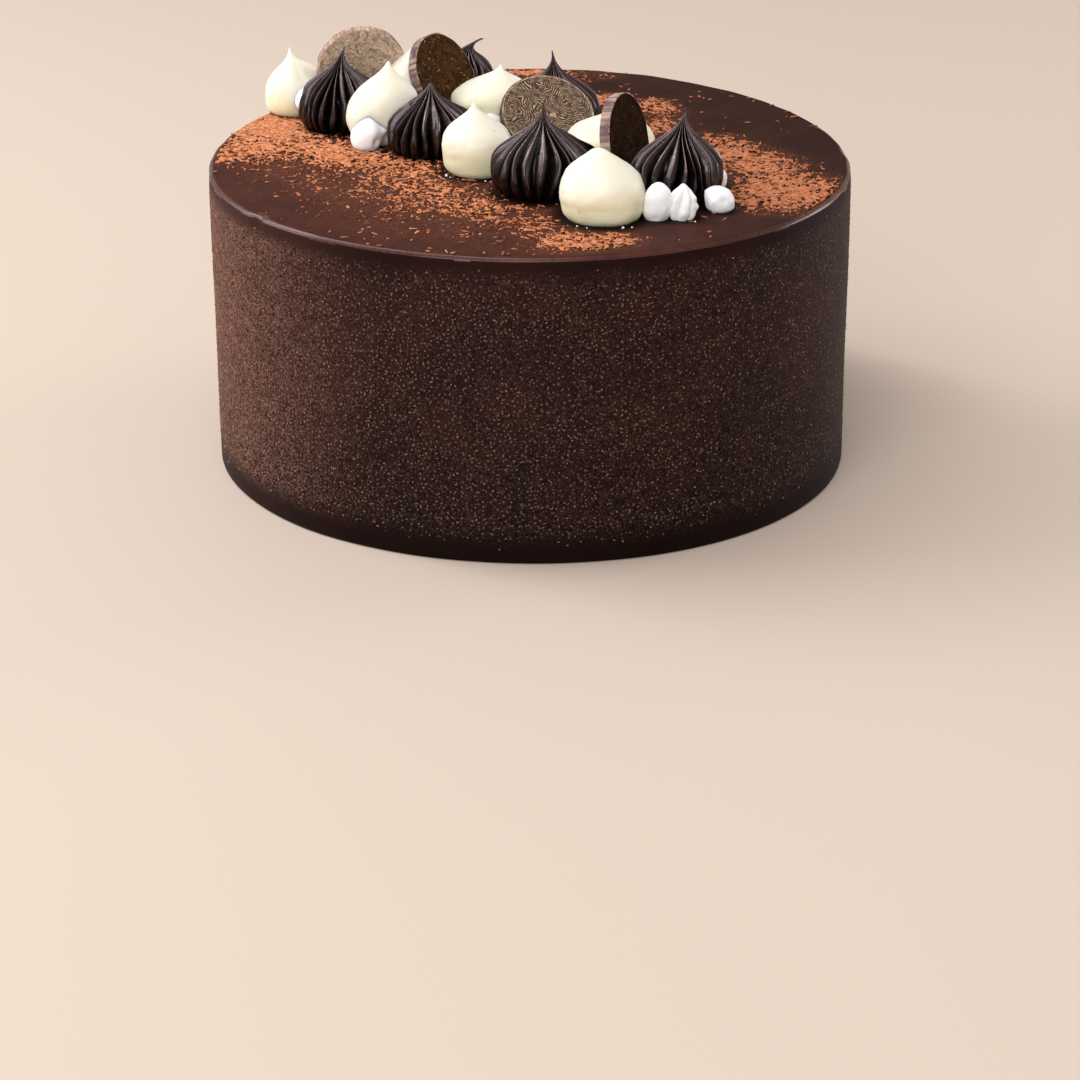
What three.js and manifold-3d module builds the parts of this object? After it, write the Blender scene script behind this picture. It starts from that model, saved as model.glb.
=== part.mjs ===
// A round chocolate custard cake, coated all over in dark chocolate, with a diagonal band of piped
// toppings across its top: smooth cream kisses, ridged ganache kisses, chocolate coins that stand
// or lean between them, and tiny meringues. Millimetres, +Z up, the origin under the middle of the
// cake on the surface it stands on. The cake is whole, so it is one solid with nothing inside.
import * as THREE from "three";
import { mergeVertices } from "three/addons/utils/BufferGeometryUtils.js";
import Module from "manifold-3d";

const wasm = await Module();
wasm.setup();

// ---- Driving dimensions ----------------------------------------------------------------------

const CAKE_RADIUS = 100;
const CAKE_HEIGHT = 94;
const TOP_EDGE_RADIUS = 2.6; // the coating rolls over the rim
const FOOT_RADIUS = 1.0; // and pulls in a little where it meets the board
const CAKE_SEGMENTS = 88;
// The coating was spread by hand: how far the outline swells (mm), in how many lobes, facing where.
const OUT_OF_ROUND = [
  { lobes: 2, swell: 1.24, facing: -74 },
  { lobes: 3, swell: 1.25, facing: -34 },
];

const COIN_RADIUS = 14.5;
const COIN_THICKNESS = 3.2;
const COIN_BEVEL = 0.5;
const COIN_SEGMENTS = 32;

const CONTACT_GAP = 0.3; // left where two soft pieces press on each other

// Each kind of piped topping. outline: how wide it is at each height, as shares of its half width
// and its height. A star nozzle gives ridges, whose depth is a share of the half width.
const CREAM = {
  outline: [
    [0.84, 0], [0.97, 0.1], [1, 0.22], [0.93, 0.38], [0.76, 0.53], [0.5, 0.68], [0.25, 0.82], [0.08, 0.95],
  ],
  ridges: 0,
};
const GANACHE = {
  outline: [
    [0.8, 0], [0.97, 0.12], [1, 0.26], [0.91, 0.41], [0.69, 0.55], [0.36, 0.69], [0.12, 0.86],
  ],
  ridges: 14,
  ridgeDepth: 0.17,
};
const MERINGUE = {
  outline: [[0.72, 0], [0.96, 0.16], [1, 0.36], [0.88, 0.58], [0.6, 0.77], [0.22, 0.93]],
  ridges: 0,
};
const STAR_MERINGUE = { outline: MERINGUE.outline, ridges: 6, ridgeDepth: 0.24 };

const TIP_RADIUS = 0.35;
const SMOOTH_SEGMENTS = 24;
const SMALL_SEGMENTS = 14; // for what is under SMALL_WIDTH across
const SMALL_WIDTH = 12;
const SEGMENTS_PER_RIDGE = 4;
const LEAN_BEND = 1.5; // over 1, so that a piece leans more and more towards its tip
const CURL_START = 0.75; // as a share of the height

// ---- Where everything sits on the top --------------------------------------------------------
// at: centre of the base on the cake's top. width and height in mm. lean: how far the tip stands
// off the centre (mm). slim: over 1 thins the upper half, under 1 fills it out. bulge: how far the
// belly swells to one side, as a share, and facing where. curl: how far the tip hooks over (mm).
// rise: how far a piece is wedged up off the cake, between the toppings beside it.

const CREAM_KISSES = [
  { at: [-76, 52], width: 19.6, height: 21.1, lean: [-1.2, 0.4], slim: 1.3, bulge: 0.08, facing: 0 },
  { at: [-46.9, 19.6], width: 22.4, height: 24, lean: [1.4, 0.5], slim: 1.15, bulge: 0.1, facing: 0 },
  { at: [-37, 48.5], width: 21, height: 24, lean: [1.5, 0], bulge: 0.04, facing: 150 },
  { at: [-13.3, 46], width: 25, height: 16.2, lean: [3.2, 0.4], slim: 1.35, bulge: 0.06, facing: 190 },
  { at: [-16.8, -14.3], width: 21.8, height: 21.2, lean: [-1, 0], slim: 1.1, bulge: 0.05, facing: 20 },
  { at: [24.2, -1.5], width: 28.2, height: 15.4, lean: [1, 0.5], slim: 1.1 },
  { at: [20.8, -59], width: 25, height: 20.4, lean: [-1.1, 0.4], slim: 0.75, bulge: 0.03, facing: 0 },
];
const GANACHE_KISSES = [
  { at: [-61.7, 34.5], width: 25.4, height: 25, lean: [2.9, 0.4], bulge: 0.05, facing: 0 },
  { at: [-32.3, 6.5], width: 26, height: 22, lean: [1.2, 0.4], bulge: 0.06, facing: 20 },
  { at: [2.6, -34.5], width: 30.5, height: 26.5, lean: [1, 0.2], bulge: 0.03, facing: 25 },
  { at: [43.1, -41.2], width: 27.4, height: 25.6, lean: [2.2, 0.4], bulge: 0.02, facing: 0 },
  { at: [-23, 76], width: 20, height: 16.6, lean: [2.4, 0], slim: 1.5, curl: 4 },
  { at: [7, 24.5], width: 29.2, height: 25.4, lean: [0.9, 0], slim: 1.45, bulge: 0.03, facing: 0 },
];
const MERINGUES = [
  { at: [-51.6, 9.6], width: 9.6, height: 10.2, lean: [2, 0] },
  { at: [36.6, -63.2], width: 8.4, height: 10.6, lean: [0.6, 0.6] },
  { at: [43.9, -63.4], width: 8, height: 10.4, lean: [-0.4, 0], kind: STAR_MERINGUE },
  { at: [55.5, -55.4], width: 8.8, height: 6.2, lean: [-0.6, 0.4] },
  { at: [-72.2, 41.4], width: 7.6, height: 8, lean: [0, 0], rise: 3.4 },
  { at: [-12.4, 31], width: 8.6, height: 5.6, lean: [0, 0] },
  { at: [54.4, -35.5], width: 7, height: 6.6, lean: [2.2, 0] },
];
// A coin's middle is `lift` over the top, so its lowest edge is pushed a little way into the coat.
// It turns about Z by `turn` degrees, 0 facing -Y and positive to +X, and leans back by `lean`.
const COINS = [
  { at: [-54, 51], lift: 13.7, turn: 11, lean: -11 },
  { at: [-27.9, 50], lift: 10.9, turn: 56, lean: 26 },
  { at: [5.4, 7.5], lift: 10, turn: 16, lean: 51 },
  { at: [28.2, -29], lift: 12.9, turn: 66, lean: 11.5 },
];

// ---- Shapes ----------------------------------------------------------------------------------

const degrees = THREE.MathUtils.degToRad;

// Points of a quarter circle from angle a to angle b, about (x, y), as a lathe profile.
function arc(x, y, radius, a, b, steps) {
  return Array.from({ length: steps + 1 }, (_, i) => {
    const angle = degrees(a + ((b - a) * i) / steps);
    return new THREE.Vector2(x + radius * Math.cos(angle), y + radius * Math.sin(angle));
  });
}

// A lathe turns about Y: this stands it up along Z, then moves each vertex as `move` says.
function turned(profile, segments, move) {
  const made = new THREE.LatheGeometry(profile, segments);
  made.rotateX(Math.PI / 2);
  const at = made.getAttribute("position");
  const point = new THREE.Vector3();
  for (let i = 0; i < at.count; i++) {
    point.fromBufferAttribute(at, i);
    move(point);
    at.setXYZ(i, point.x, point.y, point.z);
  }
  return made;
}

// The cake's coated body: upright sides, a rolled top edge and a flat top, slightly out of round.
function cakeGeometry() {
  const profile = [
    new THREE.Vector2(0, 0),
    ...arc(CAKE_RADIUS - FOOT_RADIUS, FOOT_RADIUS, FOOT_RADIUS, -90, 0, 2),
    ...arc(CAKE_RADIUS - TOP_EDGE_RADIUS, CAKE_HEIGHT - TOP_EDGE_RADIUS, TOP_EDGE_RADIUS, 0, 90, 4),
    new THREE.Vector2(0, CAKE_HEIGHT),
  ];
  return turned(profile, CAKE_SEGMENTS, (point) => {
    const around = Math.atan2(point.y, point.x);
    const swell = OUT_OF_ROUND.reduce(
      (sum, wave) => sum + wave.swell * Math.cos(wave.lobes * (around - degrees(wave.facing))),
      0,
    );
    const wider = 1 + swell / CAKE_RADIUS;
    point.set(point.x * wider, point.y * wider, point.z);
  });
}

// The outline as a closed lathe profile, from the middle of the base to the tip.
function pipedProfile(outline, radius, height, slim) {
  const widest = outline.findIndex(([share]) => share === 1);
  const side = outline.map(
    ([share, up], i) => new THREE.Vector2(radius * (i > widest ? share ** slim : share), up * height),
  );
  const tip = [new THREE.Vector2(TIP_RADIUS, height), new THREE.Vector2(0, height)];
  return [new THREE.Vector2(0, 0), ...side, ...tip];
}

// One piped topping, grown by `spread` all round. Its ridges have rounded crests and sharp valleys.
function pipedGeometry(kind, piece, spread) {
  const radius = piece.width / 2 + spread;
  const height = piece.height + spread;
  const smooth = piece.width < SMALL_WIDTH ? SMALL_SEGMENTS : SMOOTH_SEGMENTS;
  const segments = kind.ridges ? kind.ridges * SEGMENTS_PER_RIDGE : smooth;
  const { slim = 1, bulge = 0, facing = 0, curl = 0, lean } = piece;
  return turned(pipedProfile(kind.outline, radius, height, slim), segments, (point) => {
    const around = Math.atan2(point.y, point.x);
    const up = Math.max(0, point.z / height);
    const valley = kind.ridges ? 1 - Math.abs(Math.cos((kind.ridges * around) / 2)) : 0;
    const ridged = 1 - (kind.ridgeDepth ?? 0) * valley;
    const belly = Math.sin(Math.PI * Math.min(1, up + 0.2));
    const wider = ridged * (1 + bulge * belly * Math.cos(around - degrees(facing)));
    const leaning = up ** LEAN_BEND;
    const hooked = curl * Math.max(0, (up - CURL_START) / (1 - CURL_START)) ** 2;
    point.x = point.x * wider + lean[0] * leaning + hooked;
    point.y = point.y * wider + lean[1] * leaning;
  });
}

// A flat round coin with a small bevel on both of its edges.
function coinGeometry(spread) {
  const radius = COIN_RADIUS + spread;
  const half = COIN_THICKNESS / 2 + spread;
  const profile = [
    new THREE.Vector2(0, -half),
    new THREE.Vector2(radius - COIN_BEVEL, -half),
    new THREE.Vector2(radius, COIN_BEVEL - half),
    new THREE.Vector2(radius, half - COIN_BEVEL),
    new THREE.Vector2(radius - COIN_BEVEL, half),
    new THREE.Vector2(0, half),
  ];
  return turned(profile, COIN_SEGMENTS, () => {});
}

// ---- Solids: each topping presses into the ones that give way to it ---------------------------

function solidOf(geometry) {
  const bare = geometry.clone();
  bare.deleteAttribute("normal");
  bare.deleteAttribute("uv");
  const merged = mergeVertices(bare, 1e-4);
  return new wasm.Manifold(
    new wasm.Mesh({
      numProp: 3,
      vertProperties: merged.attributes.position.array,
      triVerts: new Uint32Array(merged.index.array),
    }),
  );
}

function geometryOf(solid) {
  const mesh = solid.getMesh();
  return new THREE.BufferGeometry()
    .setAttribute("position", new THREE.BufferAttribute(mesh.vertProperties, 3))
    .setIndex(new THREE.BufferAttribute(mesh.triVerts, 1));
}

const onTop = ([x, y], rise = 0) => new THREE.Matrix4().makeTranslation(x, y, CAKE_HEIGHT + rise);

function coinPlace(coin) {
  const upright = new THREE.Matrix4().makeRotationX(degrees(90 - coin.lean));
  const facing = new THREE.Matrix4().makeRotationZ(degrees(coin.turn));
  return onTop(coin.at, coin.lift).multiply(facing).multiply(upright);
}

// A row of piped toppings of one kind, unless a piece names its own.
const piped = (name, kind, row, material) =>
  row.map((piece, i) => ({
    name: `${name}_${i + 1}`,
    shape: (spread) => pipedGeometry(piece.kind ?? kind, piece, spread),
    place: onTop(piece.at, piece.rise),
    material,
  }));

const coins = (material) =>
  COINS.map((coin, i) => ({
    name: `chocolate_coin_${i + 1}`,
    shape: coinGeometry,
    place: coinPlace(coin),
    material,
  }));

// The coat's top, as a block under everything: it takes off what is pushed into the coat.
function underTop() {
  const width = 2 * CAKE_RADIUS;
  const block = new THREE.BoxGeometry(width, width, CAKE_HEIGHT);
  return solidOf(block.translate(0, 0, CAKE_HEIGHT / 2));
}

// Each piece gives way to all the pieces before it that it touches.
function pressedTogether(pieces) {
  const coat = underTop();
  const placed = (piece, spread) => solidOf(piece.shape(spread).applyMatrix4(piece.place));
  return pieces.map((piece, i) => {
    let solid = placed(piece, 0).subtract(coat);
    for (const firmer of pieces.slice(0, i)) {
      const reach = placed(firmer, CONTACT_GAP);
      if (solid.intersect(reach).volume() > 0) solid = solid.subtract(reach);
    }
    // A coin can slice a thin flap off a soft piece: the flap is dropped.
    const [body] = solid.decompose().sort((a, b) => b.volume() - a.volume());
    return { name: piece.name, material: piece.material, solid: body };
  });
}

// ---- The scene -------------------------------------------------------------------------------

const surface = (color, roughness) => new THREE.MeshStandardMaterial({ color, roughness, metalness: 0 });
const materials = {
  coating: surface(0x3a2622, 0.62),
  cream: surface(0xfbf3da, 0.38),
  ganache: surface(0x1e1311, 0.35),
  coin: surface(0x3b2a1e, 0.5),
  meringue: surface(0xf7f4f8, 0.6),
};

function named(name, geometry, material) {
  const mesh = new THREE.Mesh(geometry, material);
  mesh.name = name;
  return mesh;
}

const cake = named("cake", cakeGeometry(), materials.coating);
const toppings = pressedTogether([
  ...coins(materials.coin),
  ...piped("mini_meringue", MERINGUE, MERINGUES, materials.meringue),
  ...piped("ganache_kiss", GANACHE, GANACHE_KISSES, materials.ganache),
  ...piped("cream_kiss", CREAM, CREAM_KISSES, materials.cream),
]).map(({ name, material, solid }) => named(name, geometryOf(solid), material));

const object = new THREE.Group();
object.add(cake, ...toppings);

// The outline isn't quite round, so the origin is put under the middle of its box.
const middle = new THREE.Box3().setFromObject(cake).getCenter(new THREE.Vector3());
object.position.set(-middle.x, -middle.y, 0);

export default object;
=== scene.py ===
# %% [markdown]
# # A dark chocolate custard cake
# The imported frame holds a round cake and its 24 toppings as plain solids, at their real size and place.
# This lesson gives each of them its real surface: a coat of sprayed chocolate, a stripe of sieved cocoa,
# smooth and ridged piping, coins flecked with gold, and tiny meringues.
#
# The frame comes first, because every piece below is built where its solid stands.

# %% Load the frame
import math

import bmesh
import bpy
import numpy as np
from mathutils import Matrix, Vector


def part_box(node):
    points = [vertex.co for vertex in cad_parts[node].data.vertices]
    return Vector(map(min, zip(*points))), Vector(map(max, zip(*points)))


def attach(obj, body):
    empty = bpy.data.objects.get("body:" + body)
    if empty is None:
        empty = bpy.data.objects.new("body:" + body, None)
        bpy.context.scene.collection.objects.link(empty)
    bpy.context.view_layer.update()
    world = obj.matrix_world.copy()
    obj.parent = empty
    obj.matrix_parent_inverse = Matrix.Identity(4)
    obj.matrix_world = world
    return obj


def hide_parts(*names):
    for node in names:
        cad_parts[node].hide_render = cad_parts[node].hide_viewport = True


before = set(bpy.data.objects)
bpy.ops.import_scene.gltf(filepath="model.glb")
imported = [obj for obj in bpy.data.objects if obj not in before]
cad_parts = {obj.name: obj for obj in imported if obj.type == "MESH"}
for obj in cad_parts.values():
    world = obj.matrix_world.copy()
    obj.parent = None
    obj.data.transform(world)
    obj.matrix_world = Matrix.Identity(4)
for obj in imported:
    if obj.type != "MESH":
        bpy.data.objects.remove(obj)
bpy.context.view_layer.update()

print("nodes in the frame:", len(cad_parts))

# %% [markdown]
# ## Millimetres
# Food is small, so all sizes are written in millimetres and turned into Blender's metres by `MM`.
# Places on the top are measured from the point that the cake's outline was swung round. The outline
# isn't quite round, so that point is a little off the middle of the cake's box, and is found from it.

# %% Sizes of the cake
MM = 0.001
CAKE_RADIUS = 100.0
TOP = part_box("cake")[1].z / MM
SWELLS = [(2, 1.24, -74), (3, 1.25, -34)]  # lobes, how far they swell, facing (degrees)


def outline_at(angle):
    """How far the cake's side stands from its axis at an angle, as a share of its radius."""
    swell = sum(reach * np.cos(lobes * (angle - math.radians(facing))) for lobes, reach, facing in SWELLS)
    return 1 + swell / CAKE_RADIUS


def middle_of_outline():
    """The middle of the box round the outline, as seen from the axis."""
    angle = np.linspace(0, 2 * math.pi, 720)
    ring = CAKE_RADIUS * outline_at(angle) * np.array([np.cos(angle), np.sin(angle)])
    return (ring.min(1) + ring.max(1)) / 2


AXIS = -middle_of_outline()
print(f"the top is {TOP:.1f} mm up, and the axis stands at {AXIS.round(2)} mm")

# %% [markdown]
# ## Camera
# The camera stands where the photograph was taken from: about a metre away, a little above the cake,
# with a long lens. Its place and its three angles were worked out from the ellipses of the cake's top
# and foot.

# %% Camera
CAMERA_PLACE = (0.2, -943.9, 378.8)
CAMERA_TURN = (66.259, 0.271, -0.267)  # tilt, roll and heading in degrees
CAMERA_LENS = 105.635
CAMERA_SENSOR = 36


def show(name, data):
    """Put a mesh, a light or a camera into the scene as an object."""
    shown = bpy.data.objects.new(name, data)
    bpy.context.scene.collection.objects.link(shown)
    return shown


lens = bpy.data.cameras.new("camera")
lens.lens = CAMERA_LENS
lens.sensor_width = CAMERA_SENSOR
camera = show("camera", lens)
camera.location = Vector(CAMERA_PLACE) * MM
camera.rotation_euler = [math.radians(angle) for angle in CAMERA_TURN]
bpy.context.scene.camera = camera
print("camera looks down by", round(90 - CAMERA_TURN[0], 1), "degrees")

# %% [markdown]
# ## Helpers for node trees
# Materials and Geometry Nodes are both trees of nodes. `add` makes a node and fills it in one line:
# names that start with a capital are the node's inputs, the others are its own settings, and a value
# may be another node, whose first output is then linked.


# %% Node helpers
def out(node, label=None):
    """A node's output by its label, or its first one."""
    return next(s for s in node.outputs if s.enabled and label in (None, s.name))


def feed(tree, socket, value):
    """Link a node or an output to a socket, or set the socket to a plain value."""
    if isinstance(value, bpy.types.Node):
        value = out(value)
    if isinstance(value, bpy.types.NodeSocket):
        tree.links.new(value, socket)
    else:
        socket.default_value = value


def add(tree, kind, *ordered, **named):
    """Add a node, with its inputs in order or by Name, and its own settings by name."""
    node = tree.nodes.new(kind)
    for key, value in named.items():
        if key[0].islower():
            setattr(node, key, value)
    usable = [s for s in node.inputs if s.enabled]
    for socket, value in zip(usable, ordered):
        feed(tree, socket, value)
    for key, value in named.items():
        if key[0].isupper():
            feed(tree, next(s for s in usable if s.name == key.replace("_", " ")), value)
    return node


def calculate(tree, operation, *values):
    return add(tree, "ShaderNodeMath", *values, operation=operation)


def times(tree, first, second):
    return calculate(tree, "MULTIPLY", first, second)


def apart(tree, first, second):
    """How far two values lie from each other."""
    return calculate(tree, "ABSOLUTE", calculate(tree, "SUBTRACT", first, second))


def vectors(tree, operation, *values):
    return add(tree, "ShaderNodeVectorMath", *values, operation=operation)


def axis_of(tree, place, axis):
    """A place's X, Y or Z."""
    return out(add(tree, "ShaderNodeSeparateXYZ", place), axis)


def stored(tree, name):
    """A value that the mesh keeps on its points, as a material or a Geometry Nodes tree reads it."""
    if tree.type == "GEOMETRY":
        return out(add(tree, "GeometryNodeInputNamedAttribute", name, data_type="FLOAT"), "Attribute")
    return out(add(tree, "ShaderNodeAttribute", attribute_name=name), "Fac")


def remap(tree, value, low, high, to_low=0.0, to_high=1.0, curve="SMOOTHSTEP"):
    """Stretch what lies from low to high over the range from to_low to to_high."""
    return add(tree, "ShaderNodeMapRange", value, low, high, to_low, to_high, interpolation_type=curve)


def noise(tree, place, size, detail=2.0, roughness=0.5, distortion=0.0):
    """Soft noise whose lumps are about `size` millimetres."""
    return add(
        tree, "ShaderNodeTexNoise", Vector=place, Scale=1 / (size * MM),
        Detail=detail, Roughness=roughness, Distortion=distortion,
    )


# %% [markdown]
# ## Floor and light
# A plain pale floor and soft light. In the photograph broad daylight comes from the left and a little
# behind, and the shadows are filled from all round, so there are two big area lights, a faint one at the
# right for the sheen on that side, and a warm even world. A long narrow light overhead draws the thin
# line of gloss along the rolled edge and on the crests of the ganache.


# %% Colours and plain materials
def paint(red, green, blue):
    """A colour as a paint chart gives it, from 0 to 255, as the linear colour that shaders use."""
    chart = np.array([red, green, blue]) / 255
    linear = np.where(chart <= 0.04045, chart / 12.92, ((chart + 0.055) / 1.055) ** 2.4)
    return (*linear.tolist(), 1.0)


def plain_material(name, **settings):
    """A material with its tree and shader. Settings go straight to the shader's own sockets."""
    material = bpy.data.materials.new(name)
    material.use_nodes = True
    shader = material.node_tree.nodes["Principled BSDF"]
    for key, value in settings.items():
        shader.inputs[key.replace("_", " ")].default_value = value
    return material, material.node_tree, shader


print("half of a chart's white is", round(paint(128, 128, 128)[0], 2), "of the light")

# %% Soft lights
LIT_SPOT = Vector((0, 0, TOP * MM / 2))  # the middle of the cake


def area_light(name, place, size, watts, colour):
    """A square soft light that looks at the middle of the cake."""
    light = bpy.data.lights.new(name, "AREA")
    light.size = size
    light.energy = watts
    light.color = colour
    holder = show(name, light)
    holder.location = place
    holder.rotation_euler = (LIT_SPOT - Vector(place)).to_track_quat("-Z", "Y").to_euler()
    return holder


def strip_light(name, start, end, wide, watts, colour):
    """A long narrow light from one place to another, that looks at the middle of the cake."""
    start, end = Vector(start), Vector(end)
    holder = area_light(name, (start + end) / 2, (end - start).length, watts, colour)
    holder.data.shape = "RECTANGLE"
    holder.data.size_y = wide
    back = ((start + end) / 2 - LIT_SPOT).normalized()
    along = (end - start - (end - start).dot(back) * back).normalized()
    holder.rotation_euler = Matrix((along, back.cross(along), back)).transposed().to_euler()


print("lights look at a spot", round(LIT_SPOT.z / MM), "mm above the floor")

# %% Floor, lights and world
FLOOR_REACH = 3.0  # metres each way
FLOOR_CORNERS = [(-1, -1), (1, -1), (1, 1), (-1, 1)]

floor_mesh = bpy.data.meshes.new("floor")
floor_mesh.from_pydata([(FLOOR_REACH * x, FLOOR_REACH * y, 0) for x, y in FLOOR_CORNERS], [], [(0, 1, 2, 3)])
floor_mesh.materials.append(plain_material("pale floor", Base_Color=paint(213, 197, 181), Roughness=0.6)[0])
floor = show("floor", floor_mesh)

area_light("daylight", (-1.2, 0.32, 0.8), 1.1, 11.5, (0.99, 0.98, 1.0))
strip_light("overhead strip", (-0.98, 0.52, 0.86), (0.1, -0.48, 1.35), 0.1, 6.5, (0.94, 0.92, 1.0))
area_light("front fill", (-0.5, -1.6, 0.9), 1.2, 16, (0.98, 0.98, 1.0))
area_light("right strip", (1.1, 0.45, 0.3), 0.5, 4.5, (0.96, 0.92, 1.0))

world = bpy.data.worlds.new("even light")
world.use_nodes = True
background = world.node_tree.nodes["Background"]
background.inputs["Color"].default_value = (1.0, 0.93, 0.86, 1.0)
background.inputs["Strength"].default_value = 0.5
bpy.context.scene.world = world
bpy.context.scene.view_settings.view_transform = "Standard"

# %% [markdown]
# ## Where the cocoa fell
# The baker sieved cocoa in a stripe from the back left to the front right and set the toppings along
# its middle. A few soft patches, each with its own reach and thickness, describe how much lies where.
# Both the coat's fine film of dust and the raised powder read this one map, so they always agree.

# %% The cocoa map
# x, y, reach along, reach across (mm), turn (degrees), thickness
COCOA_PATCHES = [
    (-82, 30, 18, 20, 10, 0.96), (-88, 3, 12, 13, 0, 0.62), (-64, 5, 20, 13, -30, 0.74),
    (-44, -9, 17, 10, -30, 0.6), (-34, -28, 16, 11, -45, 0.34), (-21, -46, 17, 12, -45, 0.3),
    (-5, -62, 16, 11, -45, 0.28), (6, -77, 12, 9, -60, 0.3), (17, -86, 15, 8, 10, 0.74),
    (70, -14, 12, 22, 20, 0.72), (79, -44, 14, 17, 0, 0.8), (91, -38, 7, 12, 0, 0.4),
    (66, -46, 11, 14, 0, 0.6), (62, 6, 7, 12, 0, 0.5), (54, 14, 7, 8, 0, 0.3), (42, 50, 7, 11, 20, 0.66),
    (42, 28, 7, 10, 0, 0.6), (24, 60, 7, 9, 0, 0.6), (10, 80, 8, 10, 0, 0.45),
    (-2, 95, 12, 8, 0, 0.7), (20, 90, 12, 8, 0, 0.25),
    (-25, 5, 66, 20, -45, 0.3), (-50, -30, 50, 17, -40, 0.27), (55, 10, 60, 20, -45, 0.08),
    (-35, -66, 50, 20, -38, 0.14),
]


def cocoa_at(x, y):
    """How thickly cocoa covers the top at a place, from 0 to 1."""
    bare = np.ones_like(x)
    for middle_x, middle_y, along, across, turn, thickness in COCOA_PATCHES:
        angle = math.radians(turn)
        ahead = ((x - middle_x) * math.cos(angle) + (y - middle_y) * math.sin(angle)) / along
        aside = ((y - middle_y) * math.cos(angle) - (x - middle_x) * math.sin(angle)) / across
        bare = bare * (1 - thickness * np.exp(-((ahead**2 + aside**2) ** 1.5)))
    return 1 - bare


print("patches of cocoa:", len(COCOA_PATCHES))

# %% [markdown]
# ## The chocolate coat
# A warm, matt brown top with soft mottling, and darker sides sprayed with fine pebbles. Where the two
# meet, the coat rolls over a thin, glossier edge. Each of the three is a material of its own, and every
# face of the coat takes one by its height. One function makes the top and the edge, which differ only
# in how smooth and glossy they are. It reads the cocoa map for the film of dust between the grains and
# for its brushed strokes.
#
# At the feet of the toppings the coat and the cocoa are darkened with painted shade. An Ambient Occlusion
# node finds those places by how little open sky they see. A little sheen gives the sprayed side the soft
# bloom that it shows where it turns away.

# %% Materials of the coat
def tree_place(tree):
    """The place of a point on the object itself."""
    return out(add(tree, "ShaderNodeTexCoord"), "Object")


def blend(tree, share, first, second):
    """Mix two colours: none of the second at 0, all of it at 1."""
    return add(tree, "ShaderNodeMix", share, first, second, data_type="RGBA")


# how far the painted contact shade looks for cover
CONTACT_SHADE_REACH = 5
TO_FRONT_LEFT = (-0.75, -0.66, 0)
TO_LEFT = (-0.966, 0.259, 0)


def painted_contact_shade(tree, colour, tight, free):
    """Painted shade: darken a colour where less open sky than `free` is seen, and most where less than
    `tight` is.
    """
    open_sky = out(add(tree, "ShaderNodeAmbientOcclusion", Distance=CONTACT_SHADE_REACH * MM, samples=6), "AO")
    return blend(tree, remap(tree, open_sky, tight, free, 0.9, 0), colour, paint(10, 4, 3))


def roughen(tree, shader, height, strength, depth):
    """Bump a surface by up to `depth` millimetres."""
    bump = add(tree, "ShaderNodeBump", Strength=strength, Distance=depth * MM, Height=height)
    feed(tree, shader.inputs["Normal"], bump)


def chocolate_top(name, gloss, rough, relief):
    """Warm brown chocolate, mottled, with painted light: a little paler to the front left, where the light
    falls.
    """
    tint = paint(255, 220, 222)
    material, tree, shader = plain_material(name, Specular_IOR_Level=gloss, Specular_Tint=tint)
    place = tree_place(tree)
    mottle = remap(tree, noise(tree, place, 11, detail=4, roughness=0.6), 0.3, 0.7)
    fine = remap(tree, noise(tree, place, 1.1, detail=3, roughness=0.6, distortion=0.8), 0.3, 0.7)
    tone = blend(tree, 0.4, mottle, fine)
    # painted light: the top is paler towards the front left, where the light falls
    to_front = out(vectors(tree, "DOT_PRODUCT", place, TO_FRONT_LEFT), "Value")
    painted_front_left_light = remap(tree, to_front, -65 * MM, 62 * MM)
    dark = blend(tree, painted_front_left_light, paint(38, 18, 12), paint(55, 29, 23))
    light = blend(tree, painted_front_left_light, paint(55, 29, 21), paint(78, 43, 34))
    cover = stored(tree, "cocoa")
    dust_noise = remap(tree, noise(tree, place, 0.9, detail=3, roughness=0.7), 0.3, 0.7)
    thick = calculate(tree, "SUBTRACT", cover, times(tree, dust_noise, 0.9))
    worms = noise(tree, place, 1.3, detail=1.5, distortion=1.2)
    worm = remap(tree, apart(tree, worms, 0.5), 0, 0.05, 1, 0)
    brushed = times(tree, worm, remap(tree, cover, 0.02, 0.22, 0, 0.6))
    film = calculate(tree, "MAXIMUM", remap(tree, thick, -0.1, 0.6, 0, 0.3), brushed)
    bare = blend(tree, tone, dark, light)
    dusted = blend(tree, film, bare, paint(150, 88, 60))
    # painted shade where the toppings' feet hide the sky
    feed(tree, shader.inputs["Base Color"], painted_contact_shade(tree, dusted, 0.7, 0.98))
    feed(tree, shader.inputs["Roughness"], remap(tree, fine, 0, 1, rough, rough + 0.06))
    roughen(tree, shader, fine, relief, 0.12)
    print("nodes in the", name, len(tree.nodes))
    return material


top_material = chocolate_top("smooth chocolate top", 0.07, 0.6, 0.3)
edge_material = chocolate_top("rolled chocolate edge", 0.45, 0.25, 0.03)


# %% Material of the side
def painted_left_light(tree, place):
    """How far to the left of the cake a place lies, from 0 to 1: the side is painted paler there, as light
    falls from the left.
    """
    to_left = out(vectors(tree, "DOT_PRODUCT", place, TO_LEFT), "Value")
    return remap(tree, to_left, 5 * MM, 100 * MM)


side_material, tree, shader = plain_material(
    "sprayed chocolate side", Specular_IOR_Level=0.06, Sheen_Weight=0.03, Sheen_Roughness=0.4,
    Sheen_Tint=paint(214, 200, 214), Roughness=0.6,
)
place = tree_place(tree)
height = axis_of(tree, place, "Z")
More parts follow.
